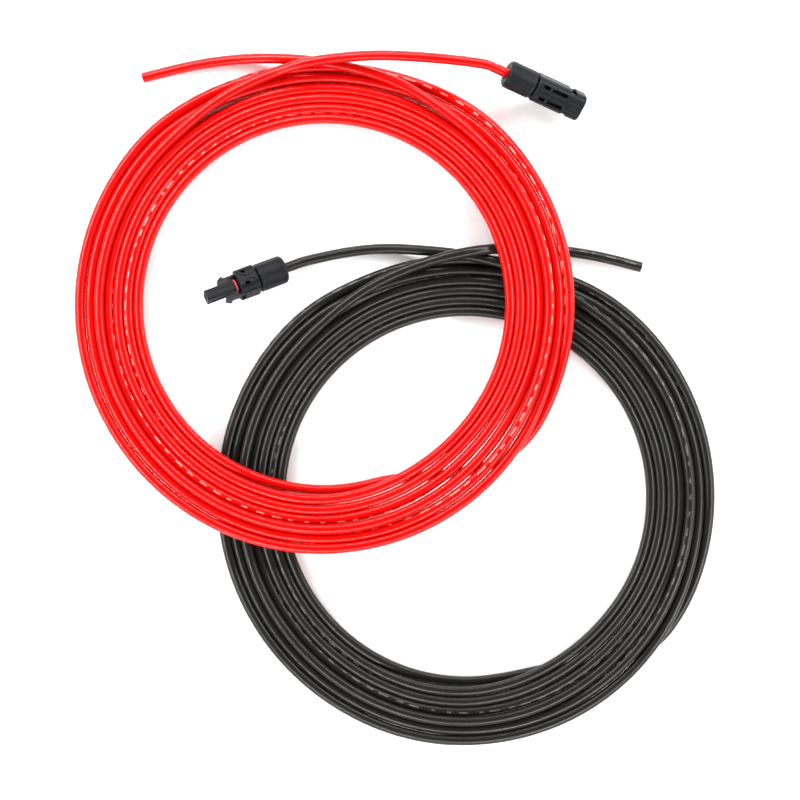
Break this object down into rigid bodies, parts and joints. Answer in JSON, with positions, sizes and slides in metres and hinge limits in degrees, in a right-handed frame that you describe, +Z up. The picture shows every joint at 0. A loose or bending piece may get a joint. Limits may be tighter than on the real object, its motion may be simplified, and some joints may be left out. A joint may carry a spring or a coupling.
{
  "type": "solar cable connector",
  "caption": "Pair of coiled solar extension leads, one red with a pin connector and one black with a latching socket connector, each with a bare cut far end.",
  "frame": {"origin": "under the middle of the two connectors, on the surface that the leads lie on", "axes": "+X from the socket connector towards the pin connector, +Y away from the coils, +Z up"},
  "size_m": [0.4274, 0.4622, 0.0355],
  "materials": {
    "plastic": "moulded charcoal black, satin",
    "cage": "moulded black",
    "seal": "soft black rubber",
    "ring": "red silicone rubber",
    "contact": "tin plated copper",
    "spring": "spring steel",
    "strand": "tinned copper strands",
    "red_sheath": "smooth red sheath, glossy",
    "black_sheath": "smooth black sheath, glossy"
  },
  "bodies": {
    "black_lead": {"black_housing": "plastic", "black_sealing_ring": "ring", "black_cable_seal": "seal", "black_contact_socket": "contact", "black_contact_spring": "spring", "black_retaining_clip": "spring", "black_conductor": "strand", "black_cable_lead": "black_sheath", "black_cable_coil": "black_sheath", "black_cable_tail": "black_sheath", "black_tail_conductor": "strand"},
    "black_collet": {"black_collet": "cage"},
    "black_nut": {"black_nut": "plastic"},
    "latch_left": {"black_latch_arm_left": "plastic"},
    "latch_right": {"black_latch_arm_right": "plastic"},
    "red_lead": {"red_housing": "plastic", "red_cable_seal": "seal", "red_contact_pin": "contact", "red_retaining_clip": "spring", "red_conductor": "strand", "red_cable_lead": "red_sheath", "red_cable_coil": "red_sheath", "red_cable_tail": "red_sheath", "red_tail_conductor": "strand"},
    "red_collet": {"red_collet": "cage"},
    "red_nut": {"red_nut": "plastic"}
  },
  "joints": [
    {"name": "red_lead_lift", "type": "slide", "parent": "black_lead", "child": "red_lead", "axis": [0, 0, 1], "range_m": [0, 0.12]},
    {"name": "red_collet_slide", "type": "slide", "parent": "red_lead", "child": "red_collet", "axis": [-0.8842, 0.3771, 0.2756], "range_m": [0, 0.006]},
    {"name": "red_nut_turn", "type": "hinge", "parent": "red_collet", "child": "red_nut", "pos_m": [0.073, 0.0725, 0.0254], "axis": [-0.8842, 0.3771, 0.2756], "range_deg": [0, 1080]},
    {"name": "black_collet_slide", "type": "slide", "parent": "black_lead", "child": "black_collet", "axis": [0.8962, 0.3476, -0.2756], "range_m": [0, 0.006]},
    {"name": "black_nut_turn", "type": "hinge", "parent": "black_collet", "child": "black_nut", "pos_m": [-0.0745, -0.0563, 0.00875], "axis": [0.8962, 0.3476, -0.2756], "range_deg": [0, 1080]},
    {"name": "latch_left_press", "type": "hinge", "parent": "black_lead", "child": "latch_left", "pos_m": [-0.09589, -0.07168, 0.01884], "axis": [-0.1028, -0.4417, -0.8913], "range_deg": [0, 5], "stiffness_Nm_per_rad": 0.3},
    {"name": "latch_right_press", "type": "hinge", "parent": "black_lead", "child": "latch_right", "pos_m": [-0.10204, -0.0599, 0.01371], "axis": [0.1028, 0.4417, 0.8913], "range_deg": [0, 5], "stiffness_Nm_per_rad": 0.3}
  ],
  "couplings": [
    {"joint": "red_collet_slide", "follows": "red_nut_turn", "m_per_rad": 0.00031831},
    {"joint": "black_collet_slide", "follows": "black_nut_turn", "m_per_rad": 0.00031831}
  ]
}
